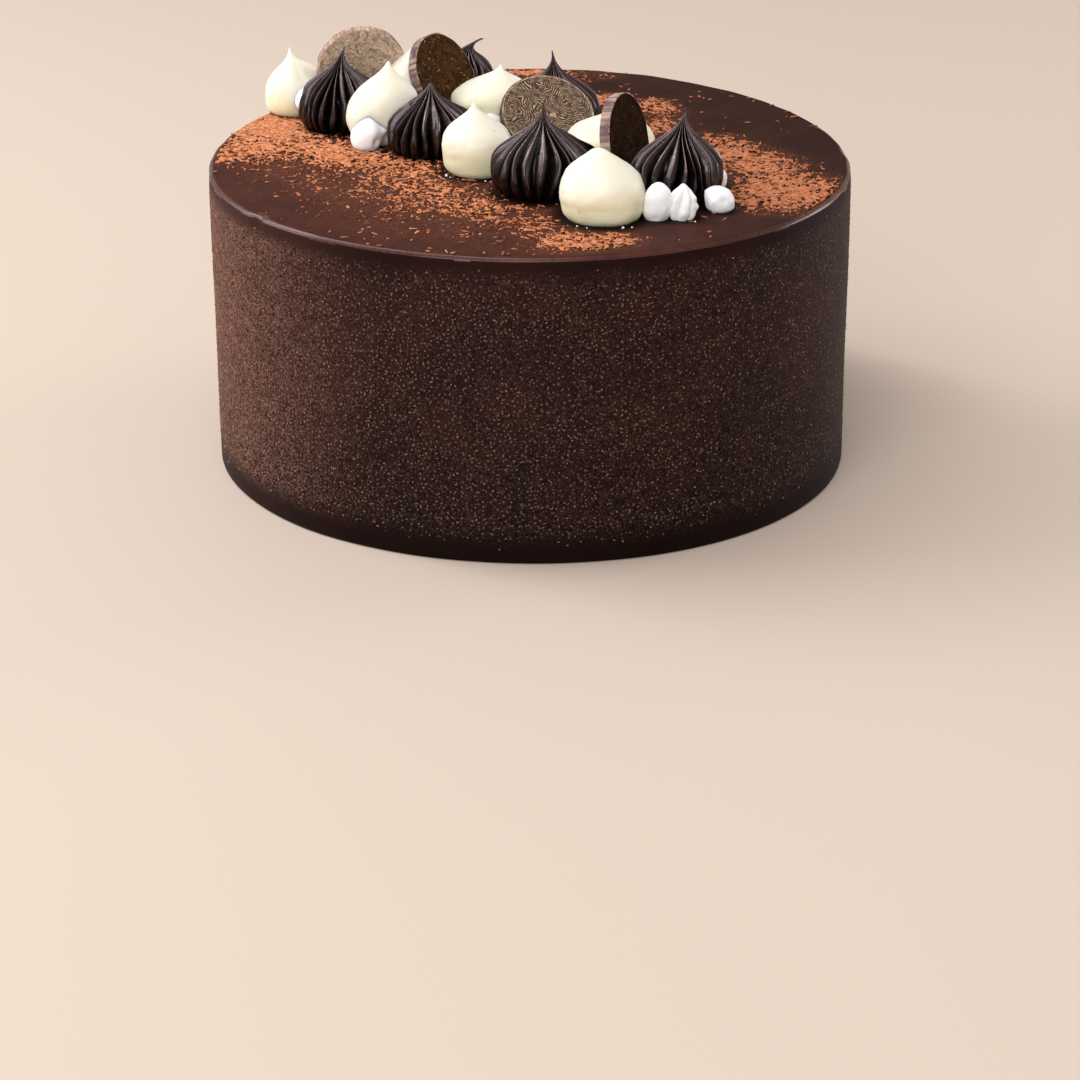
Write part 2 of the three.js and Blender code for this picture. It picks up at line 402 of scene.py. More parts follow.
# painted light: the side, its dots and its strokes are paler to the left, where the daylight falls
leftward_light = painted_left_light(tree, place)
patch = remap(tree, noise(tree, place, 24, detail=2), 0.35, 0.65)
pebbles = add(tree, "ShaderNodeTexVoronoi", Vector=place, Scale=1 / (1.15 * MM))
pebble = remap(tree, out(pebbles, "Distance"), 0.1, 0.32, 1, 0)
chance = out(add(tree, "ShaderNodeSeparateColor", out(pebbles, "Color")))
worms = noise(tree, place, 1.5, detail=1, distortion=1.6)
worm = remap(tree, apart(tree, worms, 0.5), 0.01, 0.07, 1, 0)
under_rim = remap(tree, height, (TOP - 8) * MM, (TOP - 2.8) * MM, 1, 0)
above_foot = remap(tree, height, 4 * MM, 13 * MM)
grainy = times(tree, under_rim, above_foot)
dots = times(tree, times(tree, pebble, chance), grainy)
strokes = times(tree, worm, times(tree, grainy, remap(tree, leftward_light, 0, 1, 0.14, 0.85)))
marks = calculate(tree, "MAXIMUM", dots, strokes)
dark = blend(tree, patch, paint(26, 11, 9), paint(37, 16, 13))
lit_from_left = blend(tree, times(tree, leftward_light, 0.8), dark, paint(70, 40, 33))
# painted shade: the side darkens towards the foot
base_colour = blend(tree, remap(tree, height, 0, 58 * MM, 0.75, 0), lit_from_left, paint(14, 4, 3))
pale = blend(tree, leftward_light, paint(132, 104, 94), paint(164, 118, 98))
feed(tree, shader.inputs["Base Color"], blend(tree, marks, base_colour, pale))
wrinkled = calculate(tree, "ADD", marks, noise(tree, place, 3.2, detail=3, distortion=1.8))
roughen(tree, shader, wrinkled, 0.6, 0.2)
print("nodes in the side's material:", len(tree.nodes))

# %% [markdown]
# The coat's mesh is a lathe: rings of points from the middle of the foot, up the side, over the rolled
# edge and in to the middle of the top. A lathe could also be made with the Screw modifier, but rings
# made in code let each point move one by one: the side waves a little, the edge is uneven, and there is one
# small dent in it. All of it moves inwards only, so the coat stays inside its frame.

# %% Mesh helpers
RIPPLE_WAVES = 7
RIPPLE_PEAK = 3.2  # what that many waves seldom add up to


def ripple(points, size, seed):
    """Smooth noise from about -1 to 1 at each point, with waves of about `size` millimetres."""
    draw = np.random.default_rng(seed)
    total = np.zeros(points.shape[:-1])
    for _ in range(RIPPLE_WAVES):
        heading = draw.normal(size=3)
        heading *= 2 * math.pi / (size * draw.uniform(0.7, 1.5)) / np.linalg.norm(heading)
        total += np.sin(points @ heading + draw.uniform(0, 2 * math.pi))
    return total / RIPPLE_PEAK


def ring_angles(count):
    """Evenly spread angles, once round."""
    return np.linspace(0, 2 * math.pi, count, endpoint=False)


def round_points(across, angle, up):
    """Points by their distance from an upright axis, their angle round it and their height."""
    x, y = across * np.cos(angle), across * np.sin(angle)
    return np.stack([x, y, np.broadcast_to(up, x.shape)], axis=-1)


def ring_faces(levels, around):
    """Quads between rings of points, closed by fans to a pole at the bottom and one at the top."""
    quads = []
    for level in range(levels - 1):
        for i in range(around):
            low, high, following = level * around, (level + 1) * around, (i + 1) % around
            quads.append((low + i, low + following, high + following, high + i))
    bottom, top, last = levels * around, levels * around + 1, (levels - 1) * around
    for i in range(around):
        following = (i + 1) % around
        quads.append((bottom, following, i))
        quads.append((top, last + i, last + following))
    return quads


def new_piece(name, points, faces, material):
    """A smooth piece from points in millimetres."""
    mesh = bpy.data.meshes.new(name)
    mesh.from_pydata((np.asarray(points) * MM).tolist(), [], faces)
    mesh.shade_smooth()
    mesh.materials.append(material)
    return show(name, mesh)


def store(mesh, name, values):
    """Keep a value on each of a mesh's points."""
    mesh.attributes.new(name, "FLOAT", "POINT").data.foreach_set("value", values)


def places_in(mesh):
    """Where a mesh's points lie, in metres."""
    return np.array([vertex.co[:] for vertex in mesh.vertices])


def turned_angle(angle, facing):
    """How far an angle is from facing, the short way round, in radians."""
    return (angle - math.radians(facing) + math.pi) % (2 * math.pi) - math.pi


def ringed_piece(name, rings, bottom, top, material):
    """A closed piece from rings of points, its lowest ring first, and the two poles that close it."""
    levels, around = rings.shape[:2]
    points = np.vstack([rings.reshape(-1, 3), bottom, top])
    return new_piece(name, points, ring_faces(levels, around), material)


# %% Mesh of the coat
COAT_INSET = 0.48  # leaves room for the grain that stands on the side
EDGE_RADIUS = 1.9
FOOT_RADIUS = 1.0
COAT_AROUND = 400
RIM_SEAM = 1.6  # the side's finish ends this far below the top
EDGE_FLAT = 0.35  # and the rolled edge's gloss this far below it
SIDE_STEP = 1.6
TOP_STEP = 2.2
DENT = {"facing": -143.5, "wide": 2.2, "deep": 0.8}  # in the top edge, at the front left


def coat_profile():
    """Distance from the axis and height of each ring, from the foot to the middle of the top."""
    radius = CAKE_RADIUS - COAT_INSET
    foot = np.radians(np.linspace(-90, 0, 4))
    edge_arc = np.radians(np.linspace(0, 90, 9))
    side = np.arange(FOOT_RADIUS + SIDE_STEP, TOP - EDGE_RADIUS - 0.5, SIDE_STEP)
    inner = np.arange(radius - EDGE_RADIUS - 1, TOP_STEP, -TOP_STEP)
    across = np.concatenate([
        radius - FOOT_RADIUS + FOOT_RADIUS * np.cos(foot), np.full(len(side), radius),
        radius - EDGE_RADIUS + EDGE_RADIUS * np.cos(edge_arc), inner,
    ])
    up = np.concatenate([
        FOOT_RADIUS + FOOT_RADIUS * np.sin(foot), side,
        TOP - EDGE_RADIUS + EDGE_RADIUS * np.sin(edge_arc), np.full(len(inner), TOP),
    ])
    return across, up


across, up = coat_profile()
angle = ring_angles(COAT_AROUND)
coat_points = round_points(across[:, None] * outline_at(angle), angle, up[:, None])
edge_share = np.exp(-(((across - CAKE_RADIUS) ** 2 + (up - TOP) ** 2) / 12))[:, None]
waving = 0.1 * (ripple(coat_points, 38, 1) - 1) + 0.16 * edge_share * (ripple(coat_points, 14, 2) - 1)
off_dent = turned_angle(angle, DENT["facing"])
waving -= DENT["deep"] * edge_share * np.exp(-((off_dent * CAKE_RADIUS / DENT["wide"]) ** 2))
away = np.stack([np.cos(angle), np.sin(angle)], axis=-1)[None]
coat_points[..., :2] += waving[..., None] * away * np.minimum(1, across / CAKE_RADIUS)[:, None, None]
coat_points[..., 2] += waving * np.clip((up - TOP / 2) / TOP, 0, 0.5)[:, None]
coat_points[..., :2] += AXIS
coat = ringed_piece("chocolate_coat", coat_points, [*AXIS, 0], [*AXIS, TOP - 0.1], top_material)
for material in (side_material, edge_material):
    coat.data.materials.append(material)
level_of = [min(coat.data.vertices[i].co.z for i in face.vertices) / MM for face in coat.data.polygons]
is_side, is_edge = np.array(level_of) < TOP - RIM_SEAM, np.array(level_of) < TOP - EDGE_FLAT
coat.data.polygons.foreach_set("material_index", np.select([is_side, is_edge], [1, 2], 0))
spots = places_in(coat.data) / MM
store(coat.data, "cocoa", cocoa_at(spots[:, 0], spots[:, 1]) * (spots[:, 2] > TOP - 1.2))
print("triangles in the coat:", 2 * len(coat.data.polygons))

# %% [markdown]
# ## The grain on the side
# Chocolate sprayed on a cold cake freezes into tiny beads. Thousands of the same little shape call for
# Geometry Nodes: points are spread over the side, no two closer than the spacing, thinned out towards
# the foot and the top edge and in soft patches, and each carries one eight-sided bead. Real meshes are
# made of them at the end, because copies that exist only as instances would be lost in an export.


# %% Geometry Nodes helpers
def geometry_tree(name, *inputs):
    """An empty tree whose named inputs are whole numbers where the name ends in seed, else sizes."""
    tree = bpy.data.node_groups.new(name, "GeometryNodeTree")
    tree.interface.new_socket("Geometry", in_out="INPUT", socket_type="NodeSocketGeometry")
    for label in inputs:
        kind = "NodeSocketInt" if label.endswith("seed") else "NodeSocketFloat"
        tree.interface.new_socket(label, in_out="INPUT", socket_type=kind)
    tree.interface.new_socket("Geometry", in_out="OUTPUT", socket_type="NodeSocketGeometry")
    return tree, tree.nodes.new("NodeGroupInput")


def pick(tree, low, high, seed):
    """A random value of each copy's own, or three of them between two tuples."""
    kind = "FLOAT_VECTOR" if isinstance(low, tuple) else "FLOAT"
    return add(tree, "FunctionNodeRandomValue", low, high, Seed=seed, data_type=kind)


def spread_apart(tree, given, often):
    """Points on the surface, no two closer than the spacing."""
    return add(
        tree, "GeometryNodeDistributePointsOnFaces", distribute_method="POISSON",
        Mesh=out(given, "Geometry"), Distance_Min=out(given, "Spacing"),
        Density_Max=out(given, "Density"), Density_Factor=often, Seed=out(given, "Spread seed"),
    )


def strew(tree, spread, shape, spin, tone, **how):
    """A copy of a shape on every point, each turned its own way and with a tone for its material."""
    copies = add(tree, "GeometryNodeInstanceOnPoints", Points=spread, Instance=shape, **how)
    turned = add(tree, "GeometryNodeRotateInstances", Instances=copies, Rotation=spin)
    return add(
        tree, "GeometryNodeStoreNamedAttribute", Geometry=turned, Name="tone", Value=tone,
        data_type="FLOAT", domain="INSTANCE",
    )


def finish_tree(tree, geometry, material):
    """End a tree: real meshes from its copies, smooth, in one material."""
    real = add(tree, "GeometryNodeRealizeInstances", geometry)
    smooth = add(tree, "GeometryNodeSetShadeSmooth", real)
    painted = add(tree, "GeometryNodeSetMaterial", smooth, Material=material)
    add(tree, "NodeGroupOutput", painted)


def make_plain(piece):
    """Keep what a piece's modifiers make as its plain mesh, and drop them."""
    shown = piece.evaluated_get(bpy.context.evaluated_depsgraph_get())
    made = bpy.data.meshes.new_from_object(shown)
    piece.modifiers.clear()
    piece.data = made


def grow(piece, tree, **sizes):
    """Run a tree on a piece and keep what it makes."""
    modifier = piece.modifiers.new(tree.name, "NODES")
    modifier.node_group = tree
    for item in tree.interface.items_tree:
        key = item.name.replace(" ", "_")
        if item.in_out == "INPUT" and key in sizes:
            modifier[item.identifier] = sizes[key]
    make_plain(piece)
    print(piece.name, "has", len(piece.data.polygons), "faces")


PLENTY = 9e5  # tries for each square metre, so many that only the spacing thins the points out
ANY_SPIN = (0, 0, 6.28)

# %% Material of the grain
grain_material, tree, shader = plain_material(
    "sprayed chocolate grain", Specular_IOR_Level=0.15, Roughness=0.5,
    Sheen_Weight=0.05, Sheen_Roughness=0.4,
)
# painted light: the beads are paler to the left, where the daylight falls
pale = blend(tree, painted_left_light(tree, tree_place(tree)), paint(140, 108, 96), paint(178, 126, 100))
feed(tree, shader.inputs["Base Color"], blend(tree, stored(tree, "tone"), paint(50, 29, 25), pale))
print("grain runs from dark to light by each bead's own tone")

# %% Grain on the side
tree, given = geometry_tree("side grain", "Spacing", "Bead", "Foot", "Edge", "Density", "Spread seed")
position = add(tree, "GeometryNodeInputPosition")
height = axis_of(tree, position, "Z")
off_foot = calculate(tree, "SUBTRACT", height, out(given, "Foot"))
off_edge = calculate(tree, "SUBTRACT", out(given, "Edge"), height)
above_foot = remap(tree, off_foot, 0, 9 * MM)
under_edge = remap(tree, off_edge, 0, 9 * MM)
band = times(tree, above_foot, under_edge)
patches = remap(tree, noise(tree, position, 22, detail=2), 0.32, 0.55, 0.35, 1)
to_right = remap(tree, axis_of(tree, position, "X"), 0, 70 * MM, 1, 0.4)
spread = spread_apart(tree, given, times(tree, times(tree, band, patches), to_right))
bead = add(tree, "GeometryNodeMeshUVSphere", Segments=4, Rings=2, Radius=out(given, "Bead"))
width = pick(tree, 0.4, 0.95, 3)
length = pick(tree, 0.7, 1.6, 7)
beads = strew(
    tree, spread, out(bead, "Mesh"), pick(tree, (0, 0, 0), ANY_SPIN, 4), pick(tree, 0.0, 1.0, 5),
    Rotation=out(spread, "Rotation"),
    Scale=add(tree, "ShaderNodeCombineXYZ", length, width, times(tree, width, 0.8)),
)
finish_tree(tree, beads, grain_material)
side_grain = show("side_grain", coat.data.copy())
grow(
    side_grain, tree, Spacing=1.15 * MM, Bead=0.36 * MM, Foot=4 * MM, Edge=(TOP - 3.5) * MM,
    Density=PLENTY, Spread_seed=11,
)

# %% [markdown]
# ## Cocoa powder
# Sieved cocoa lies in a broken crust with crumbs on and round it. The crust is a fine grid over the top,
# raised where the map is thicker than a noise, and sunk into the coat where it is thinner: what stands
# out of the coat makes the ragged islands by itself, and what is wholly sunk is deleted. That leaves
# open sheets, so a Solidify modifier gives them an underside and closes them.

# %% Material of the cocoa
cocoa_material, tree, shader = plain_material("cocoa powder", Specular_IOR_Level=0.15, Roughness=0.95)
place = tree_place(tree)
speckle = remap(tree, noise(tree, place, 1.0, detail=5, roughness=0.75), 0.33, 0.67)
# painted shade: the cocoa is darker to the right, away from the daylight
shaded_right = remap(tree, axis_of(tree, place, "X"), -40 * MM, 90 * MM, 0, 0.3)
lit_cocoa = blend(tree, speckle, paint(150, 84, 53), paint(240, 161, 113))
cocoa_colour = blend(tree, shaded_right, lit_cocoa, paint(132, 74, 50))
strayed = blend(tree, stored(tree, "tone"), cocoa_colour, paint(118, 62, 42))
# painted shade in the gaps at the toppings' feet
feed(tree, shader.inputs["Base Color"], painted_contact_shade(tree, strayed, 0.2, 0.72))
roughen(tree, shader, noise(tree, place, 0.35, detail=3), 0.6, 0.1)
print("cocoa is rough and hardly shines")

# %% Crust of cocoa
CRUST_STEP = 0.44
CRUST_WALL = 0.25
CRUST_REACH = CAKE_RADIUS - EDGE_RADIUS - 0.6
LEAST_COCOA = 0.06


def crust_grid():
    """A flat grid over the top wherever some cocoa lies, with the cocoa map on its points."""
    side = np.arange(-CRUST_REACH, CRUST_REACH, CRUST_STEP)
    x, y = np.meshgrid(side, side, indexing="ij")
    cover = cocoa_at(x + AXIS[0], y + AXIS[1])
    inside = np.hypot(x, y) < CRUST_REACH * outline_at(np.arctan2(y, x))
    wanted = (cover > LEAST_COCOA) & inside
    cells = wanted[:-1, :-1] & wanted[1:, :-1] & wanted[1:, 1:] & wanted[:-1, 1:]
    number = np.arange(x.size).reshape(x.shape)
    corners = [number[:-1, :-1], number[1:, :-1], number[1:, 1:], number[:-1, 1:]]
    faces = np.stack([corner[cells] for corner in corners], axis=-1)
    used, faces = np.unique(faces, return_inverse=True)
    points = np.stack([x, y, np.full_like(x, TOP - 0.1)], axis=-1).reshape(-1, 3)[used] + [*AXIS, 0]
    mesh = bpy.data.meshes.new("crust")
    mesh.from_pydata((points * MM).tolist(), [], faces.reshape(-1, 4).tolist())
    store(mesh, "cocoa", cover.reshape(-1)[used])
    return mesh


tree, given = geometry_tree("cocoa crust", "Grain", "Rise", "Lump")
position = add(tree, "GeometryNodeInputPosition")
cover = stored(tree, "cocoa")
fine_scale = calculate(tree, "DIVIDE", 1, out(given, "Grain"))
wide_scale = times(tree, fine_scale, 0.8)
crumbling = add(
    tree, "ShaderNodeTexNoise", Vector=position, Scale=fine_scale, Detail=2.5, Roughness=0.6, Distortion=0.4,
)
grains = remap(tree, crumbling, 0.32, 0.68, 0, 1, "LINEAR")
drifting = add(tree, "ShaderNodeTexNoise", Vector=position, Scale=wide_scale, Detail=1.0)
strands = remap(tree, apart(tree, drifting, 0.5), 0, 0.12, 0, 1, "LINEAR")
broken = calculate(tree, "ADD", times(tree, grains, 0.4), times(tree, strands, 0.6))
thick = calculate(tree, "SUBTRACT", cover, broken)
rise = remap(tree, thick, -0.08, 0.22, -0.35, 1)
lumps = remap(tree, noise(tree, position, 1.3, detail=2), 0.3, 0.7, -0.5, 0.5)
lumpy = times(tree, times(tree, lumps, out(given, "Lump")), remap(tree, rise, 0, 1))
lift = calculate(tree, "ADD", times(tree, rise, out(given, "Rise")), lumpy)
upwards = add(tree, "ShaderNodeCombineXYZ", Z=lift)
raised = add(tree, "GeometryNodeSetPosition", Geometry=out(given, "Geometry"), Offset=upwards)
sunk = add(tree, "FunctionNodeCompare", lift, -0.1 * MM, operation="LESS_THAN", data_type="FLOAT")
standing = add(tree, "GeometryNodeDeleteGeometry", Geometry=raised, Selection=sunk, domain="FACE")
finish_tree(tree, standing, cocoa_material)
crust = show("cocoa_crust", crust_grid())
grow(crust, tree, Grain=2.5 * MM, Rise=0.5 * MM, Lump=0.35 * MM)

# %% Underside of the crust
wall = crust.modifiers.new("underside", "SOLIDIFY")
wall.thickness = CRUST_WALL * MM
wall.offset = -1
make_plain(crust)
print("closed crust:", len(crust.data.polygons), "faces")

# %% [markdown]
# The crumbs are rough little lumps, from round grains to strokes three times as long. There are four
# shapes of them. They lie thickest where the crust does, stand out along its frayed borders, and thin
# out to single grains far from it.

# %% Crumbs of cocoa
CRUMB_SHAPES = 4

tree, given = geometry_tree("cocoa crumbs", "Spacing", "Crumb", "Density", "Spread seed")
often = remap(tree, stored(tree, "cocoa"), 0.02, 0.6, 0.018, 0.3, "LINEAR")
spread = spread_apart(tree, given, often)
position = add(tree, "GeometryNodeInputPosition")
ball = add(tree, "GeometryNodeMeshIcoSphere", Radius=out(given, "Crumb"), Subdivisions=1)
crumb_shapes = add(tree, "GeometryNodeGeometryToInstance")
for shape in range(CRUMB_SHAPES):
    offset = vectors(tree, "ADD", position, (7.0 * shape, 3.0, 1.0))
    squeeze = remap(tree, noise(tree, offset, 0.6, detail=1), 0.3, 0.7, 0.55, 1.5)
    dented = vectors(tree, "MULTIPLY", position, squeeze)
    lump = add(tree, "GeometryNodeSetPosition", Geometry=out(ball, "Mesh"), Position=dented)
    tree.links.new(out(lump), crumb_shapes.inputs[0])
crumbs = strew(
    tree, spread, crumb_shapes, pick(tree, (-0.2, -0.2, 0), (0.2, 0.2, 6.28), 6), pick(tree, -0.3, 1.0, 8),
    Pick_Instance=True, Scale=pick(tree, (0.5, 0.35, 0.3), (3.0, 0.85, 0.7), 2),
)
finish_tree(tree, crumbs, cocoa_material)
print("nodes in the crumbs' tree:", len(tree.nodes))

# %% The bed of the crumbs
BED_RINGS = 60  # in the flat round mesh that the crumbs are spread on
BED_AROUND = 240

crumb_bed = bpy.data.meshes.new("crumb bed")
across = np.linspace(0.5, CRUST_REACH, BED_RINGS)
angle = ring_angles(BED_AROUND)
x = across[:, None] * np.cos(angle) * outline_at(angle)
y = across[:, None] * np.sin(angle) * outline_at(angle)
bed_points = np.stack([x, y, np.full_like(x, TOP - 0.05)], axis=-1).reshape(-1, 3) + [*AXIS, 0]
bed_quads = [face[::-1] for face in ring_faces(BED_RINGS, BED_AROUND) if len(face) == 4]
crumb_bed.from_pydata((bed_points * MM).tolist(), [], bed_quads)
store(crumb_bed, "cocoa", cocoa_at(bed_points[:, 0], bed_points[:, 1]))
crumbs = show("cocoa_crumbs", crumb_bed)
grow(crumbs, tree, Spacing=0.75 * MM, Crumb=0.62 * MM, Density=PLENTY, Spread_seed=5)

# %% [markdown]
# ## Piped toppings
# Cream and ganache are piped in one squeeze: wide where the nozzle presses, then drawn up to a point. A
# round nozzle leaves a smooth kiss, a star nozzle one with ridges. All of them are turned from one kind
# of outline. Each then leans, swells to a side or hooks its tip, and has dents and lumps of its own.


# %% Shapes of the piping
CREAM = {
    "outline": [
        (0.68, 0), (0.84, 0.08), (0.95, 0.2), (1, 0.34), (0.96, 0.47), (0.85, 0.59), (0.65, 0.7),
        (0.38, 0.81), (0.17, 0.9),
    ],
    "widest": 0.34, "tip": 0.5,
}
GANACHE = {
    "outline": [
        (0.74, 0), (0.9, 0.08), (0.98, 0.17), (1, 0.28), (0.96, 0.42), (0.84, 0.53), (0.62, 0.64),
        (0.37, 0.74), (0.2, 0.83), (0.1, 0.91),
    ],
    "widest": 0.28, "ridges": 22, "deep": 0.36, "tip": 0.4,
}
MERINGUE = {
    "outline": [(0.78, 0), (0.97, 0.16), (1, 0.36), (0.9, 0.58), (0.64, 0.77), (0.26, 0.93)],
    "widest": 0.36, "tip": 0.4,
}
EGG_OUTLINE = [(0.72, 0), (0.94, 0.15), (1, 0.4), (0.93, 0.63), (0.72, 0.83), (0.4, 0.95)]
EGG_MERINGUE = {**MERINGUE, "outline": EGG_OUTLINE}
STAR_MERINGUE = {**MERINGUE, "ridges": 6, "deep": 0.44, "twist": 0.7}
LEVELS = 56
SMOOTH_AROUND = 72
RIDGE_STEPS = 12
SINK = 0.25  # how far a topping's base settles into the coat
print("ridges of the ganache:", GANACHE["ridges"])


# %% Outlines and ridges
def smooth_line(points, count):
    """Evenly spread points on a smooth curve through the given ones."""
    points = np.array(points, float)
    ends = np.vstack([2 * points[0] - points[1], points, 2 * points[-1] - points[-2]])
    along = np.linspace(0, len(points) - 1 - 1e-9, count)
    first = along.astype(int)
    t = (along - first)[:, None]
    a, b, c, d = (ends[first + i] for i in range(4))
    return 0.5 * (2 * b + (c - a) * t + (2 * a - 5 * b + 4 * c - d) * t**2 + (3 * b - a - 3 * c + d) * t**3)


def ridge_shape(kind, seed, angle, up):
    """The share of the radius that each point keeps, its sway aside, and how strongly the painted crest
    highlight shows.
    """
    draw = np.random.default_rng(seed)
    ridges = kind["ridges"]
    depths = draw.uniform(0.7, 1.25, ridges)
    ridge = np.floor(angle / (2 * math.pi) * ridges + 1e-6).astype(int) % ridges
    wave = np.abs(np.sin(ridges * angle / 2))
    pulled = np.clip((up - 0.26) / 0.26, 0, 1)
    valley = (1 - wave**0.55) * (1 - pulled) + (1 - (1 - (1 - wave) ** 2) ** 0.5) ** 0.35 * pulled
    fade = np.clip((1 - up) * 5, 0.2, 1) * np.clip(0.6 + up * 4, 0, 1)
    crest = 1 - kind["deep"] * (depths[ridge] * valley) * fade
    slow_sway = 0.1 * np.sin(3 * angle + seed) * np.sin(math.pi * up)
    sway = slow_sway + 0.05 * np.sin(5 * angle + 7 * up + 2 * seed)
    # painted highlight: a thin pale line on the crests, strongest higher up
    line = np.clip((wave - 0.94) / 0.06, 0, 1) * (0.1 + 0.9 * pulled) * np.clip(up * 5, 0, 1)
    return crest, sway + kind.get("twist", 0) * up, line


print("an outline has", LEVELS, "levels")


# %% Piping
def piped(
    name, material, seed, kind, at, width, height, lean=(0, 0), lumps=(), slim=1, drop=1, foot=0,
    bulge=0, facing=0, curl=0, rise=0, tip=None, uneven=0.25,
):
    """One piped topping, as a closed piece standing on the cake's top.

    `slim` draws in what is above its widest part, `drop` lets it sag, `foot` spreads its foot, and
    `bulge` swells it to where it is `facing`. `lean` and `curl` move its tip, `rise` lifts all of it.
    Each of its lumps has a facing, a share of the height, how far it stands out, and a size.
    """
    around = kind["ridges"] * RIDGE_STEPS if "ridges" in kind else SMOOTH_AROUND
    radius = width / 2
    share, up = smooth_line([*kind["outline"], ((tip or kind["tip"]) / radius, 0.985)], LEVELS).T
    share = share + foot * np.maximum(0, 1 - up / 0.25)
    share = np.where(up > kind["widest"], np.clip(share, 0, 1) ** slim, share)
    up = np.maximum(0, up) ** drop
    up, angle = np.meshgrid(up, ring_angles(around), indexing="ij")
    wide = radius * share[:, None]
    line = np.zeros_like(angle)
    if "ridges" in kind:
        crest, sway, line = ridge_shape(kind, seed, angle, up)
        wide, angle = wide * crest, angle + sway
    belly = np.sin(math.pi * np.minimum(1, up + 0.2))
    wide = wide * (1 + bulge * belly * np.cos(angle - math.radians(facing)))
    for towards, level, reach, spread in lumps:
        off = np.hypot(turned_angle(angle, towards) * (wide + 1), (up - level) * height) / spread
        wide = wide + reach * np.exp(-(off**2)) * np.minimum(1, wide / (0.3 * radius))
    rings = round_points(wide, angle, up * height)
    waves = ripple(rings, 9, seed) + 0.4 * ripple(rings, 3, seed + 1)
    rings[..., :2] *= (1 + uneven / radius * waves * (share[:, None] > 0.1))[..., None]
    leaning = np.maximum(0, up) ** 1.5
    hook = curl * np.maximum(0, (up - 0.6) / 0.4) ** 3
    rings[..., 0] += lean[0] * leaning + hook
    rings[..., 1] += lean[1] * leaning
    base = TOP + rise - SINK * (rise == 0)
    rings += [at[0] + AXIS[0], at[1] + AXIS[1], base]
    top = rings[-1].mean(0) + [0, 0, 0.015 * height]
    bottom = rings[0].mean(0)
    piece = ringed_piece(name, rings, bottom, top, material)
    # the painted crest highlight goes to the material as 'crest'
    store(piece.data, "crest", np.append(line, [0, 0]))
    return piece


toppings = {}


def pipe_all(kisses, name, node, slot, material, first_seed, **usual):
    """Pipe a list of toppings, each with its own seed, and note which solid each replaces."""
    for i, kiss in enumerate(kisses, 1):
        piece = piped(f"{name}_{i}", material, first_seed + i, **{**usual, **kiss})
        toppings[f"{node}_{i}"] = (piece, slot)
    print(f"{name}:", len(kisses), "pieces")


# %% [markdown]
# ## Cream kisses
# Custard cream is ivory with a soft sheen. Low down it is painted warmer and brighter, standing in for light
# bounced off the cocoa.
# Light goes a little way into it, which subsurface scattering imitates, and tiny specks of vanilla
# custard show here and there.

# %% Material of the cream
cream_material, tree, shader = plain_material(
    "piped custard cream", Roughness=0.38, Specular_IOR_Level=0.3, Subsurface_Weight=1.0,
    Subsurface_Radius=(1.0, 0.85, 0.64), Subsurface_Scale=4.5 * MM,
)
place = tree_place(tree)
cells = add(tree, "ShaderNodeTexVoronoi", Vector=place, Scale=1 / (5 * MM))
speck = remap(tree, out(cells, "Distance"), 0.07, 0.12, 1, 0)
rare = remap(tree, out(add(tree, "ShaderNodeSeparateColor", out(cells, "Color"))), 0.6, 0.65, 0, 0.5)
cloudy = remap(tree, noise(tree, place, 7, detail=2), 0.3, 0.7)
# painted light: low down the cream is warmer and brighter, as light bounced off the cocoa
above_coat = remap(tree, axis_of(tree, place, "Z"), (TOP + 2) * MM, (TOP + 13) * MM)
painted_bounce_low = blend(tree, cloudy, paint(255, 237, 198), paint(255, 243, 212))
cream_colour = blend(tree, above_coat, painted_bounce_low, paint(241, 237, 220))
specked = blend(tree, times(tree, speck, rare), cream_colour, paint(226, 196, 130))
feed(tree, shader.inputs["Base Color"], specked)
roughen(tree, shader, noise(tree, place, 2.5, detail=3), 0.25, 0.25)
print("cream lets light a few millimetres in")

# %% Cream kisses
CREAM_KISSES = [
    dict(
        at=(-76, 49.8), width=19.8, height=21.4, lean=(-0.9, 0.4), slim=1.35, drop=1.25, tip=0.6, bulge=0.08,
        lumps=[(10, 0.66, 2.8, 3.6), (25, 0.4, 1.1, 3), (-62, 0.6, -0.5, 1.6), (-40, 0.66, 0.5, 1.2)],
    ),
    dict(
        at=(-46.3, 18.4), width=21.8, height=25.1, lean=(2.4, 0.5), slim=1.05, bulge=0.07, facing=160,
        lumps=[(-15, 0.62, 1.7, 3.4), (-150, 0.3, 0.5, 5)],
    ),
    dict(at=(-37, 48.5), width=21, height=24, lean=(1.5, 0), bulge=0.04, facing=150),
    dict(
        at=(-12.4, 45.6), width=24.6, height=16.9, lean=(3.4, 0.4), slim=1.5, bulge=0.06, facing=190,
        lumps=[(0, 0.5, 1.4, 4), (185, 0.5, 0.8, 3), (-60, 0.75, 0.5, 1.5), (-100, 0.86, -0.3, 1.2)],
    ),
    dict(
        at=(-16, -16), width=22.4, height=21.7, foot=0.06, lean=(-1, 0), slim=1.15, bulge=0.05, facing=20,
        lumps=[(-42, 0.34, -1.0, 1.7), (-58, 0.18, 0.5, 2), (-25, 0.5, 0.8, 2), (-70, 0.3, 0.35, 1.5)],
    ),
    dict(at=(24.4, -1.5), width=27.6, height=15.4, lean=(1, 0.5), slim=1.1),
    dict(
        at=(20.7, -61), width=25.2, height=20.4, foot=0.12, lean=(-1.1, 0.4), slim=0.62, bulge=0.03,
        lumps=[(-55, 0.08, 0.9, 4), (-25, 0.03, 0.5, 1.6), (-80, 0.55, 0.4, 4), (170, 0.6, -0.4, 3)],
    ),
]
pipe_all(CREAM_KISSES, "cream", "cream_kiss", "cream", cream_material, 20, kind=CREAM)

